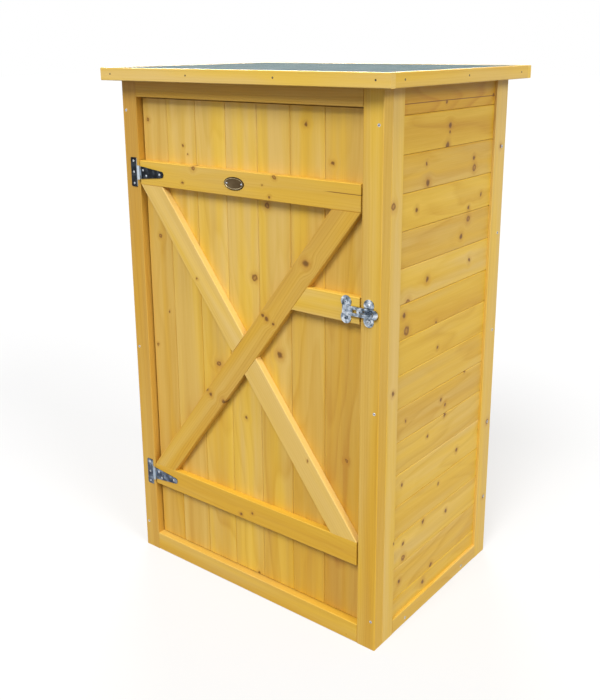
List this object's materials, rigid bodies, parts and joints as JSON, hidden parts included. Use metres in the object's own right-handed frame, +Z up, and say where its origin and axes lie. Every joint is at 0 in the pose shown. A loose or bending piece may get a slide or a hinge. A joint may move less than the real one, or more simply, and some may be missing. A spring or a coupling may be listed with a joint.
{
  "type": "garden storage cabinet",
  "caption": "Upright wooden garden storage cabinet with matchboarded walls, a flat felted roof with a fascia, and a cross-braced door on T-hinges with a hasp and turning staple.",
  "frame": {"origin": "middle of the roof outline, on the ground", "axes": "+Z up, +X to the right seen from the front, the door faces -Y"},
  "size_m": [0.75, 0.56, 1.17],
  "materials": {
    "glazed_timber": "honey glaze",
    "glazed_boards": "honey glaze",
    "inner_timber": "thin honey glaze",
    "felt": "mineral granules",
    "dark_zinc": "dark passivated zinc",
    "zinc": "bright zinc",
    "dark_bronze": "dark, satin",
    "fasteners": "bright zinc"
  },
  "bodies": {
    "cabinet": {"front_left_stile": "glazed_timber", "front_right_stile": "glazed_timber", "front_top_rail": "glazed_timber", "front_bottom_rail": "glazed_timber", "door_stop_side": "inner_timber", "door_stop_top": "inner_timber", "right_wall_front_stile": "glazed_timber", "right_wall_back_stile": "glazed_timber", "right_wall_bottom_rail": "glazed_timber", "right_wall_boards": "glazed_boards", "left_wall_front_stile": "glazed_timber", "left_wall_back_stile": "glazed_timber", "left_wall_bottom_rail": "glazed_timber", "left_wall_boards": "glazed_boards", "back_left_stile": "glazed_timber", "back_right_stile": "glazed_timber", "back_top_rail": "glazed_timber", "back_bottom_rail": "glazed_timber", "back_wall_boards": "glazed_boards", "floor_bearer_front": "inner_timber", "floor_bearer_back": "inner_timber", "floor_boards": "inner_timber", "roof_boards": "inner_timber", "roof_felt": "felt", "roof_batten_left": "inner_timber", "roof_batten_right": "inner_timber", "fascia_front": "glazed_timber", "fascia_back": "glazed_timber", "fascia_left": "glazed_timber", "fascia_right": "glazed_timber", "front_frame_screws": "fasteners", "back_frame_screws": "fasteners", "floor_screws": "fasteners", "upper_hinge_plate": "dark_zinc", "lower_hinge_plate": "dark_zinc", "hinge_pins": "fasteners", "hinge_plate_screws": "fasteners", "staple_plate": "zinc", "staple_plate_screws": "fasteners"},
    "door": {"door_boards": "glazed_boards", "upper_ledge": "glazed_timber", "lower_ledge": "glazed_timber", "long_brace": "glazed_timber", "upper_half_brace": "glazed_timber", "lower_half_brace": "glazed_timber", "lock_rail": "glazed_timber", "upper_hinge_strap": "dark_zinc", "lower_hinge_strap": "dark_zinc", "hinge_strap_screws": "fasteners", "oval_plate": "dark_bronze", "hasp_plate": "zinc", "hasp_plate_screws": "fasteners", "hasp_pin": "zinc"},
    "hasp_arm": {"hasp_arm": "zinc"},
    "turn_staple": {"turn_staple": "zinc"}
  },
  "joints": [
    {"name": "door_hinge", "type": "hinge", "parent": "cabinet", "child": "door", "pos_m": [-0.2975, -0.2539, 0.576], "axis": [0, 0, -1], "range_deg": [0, 180]},
    {"name": "hasp_hinge", "type": "hinge", "parent": "door", "child": "hasp_arm", "pos_m": [0.272, -0.2537, 0.728], "axis": [0, 0, -1], "range_deg": [0, 170]},
    {"name": "staple_turn", "type": "hinge", "parent": "cabinet", "child": "turn_staple", "pos_m": [0.318, -0.262, 0.728], "axis": [0, -1, 0], "range_deg": [-90, 90]}
  ]
}
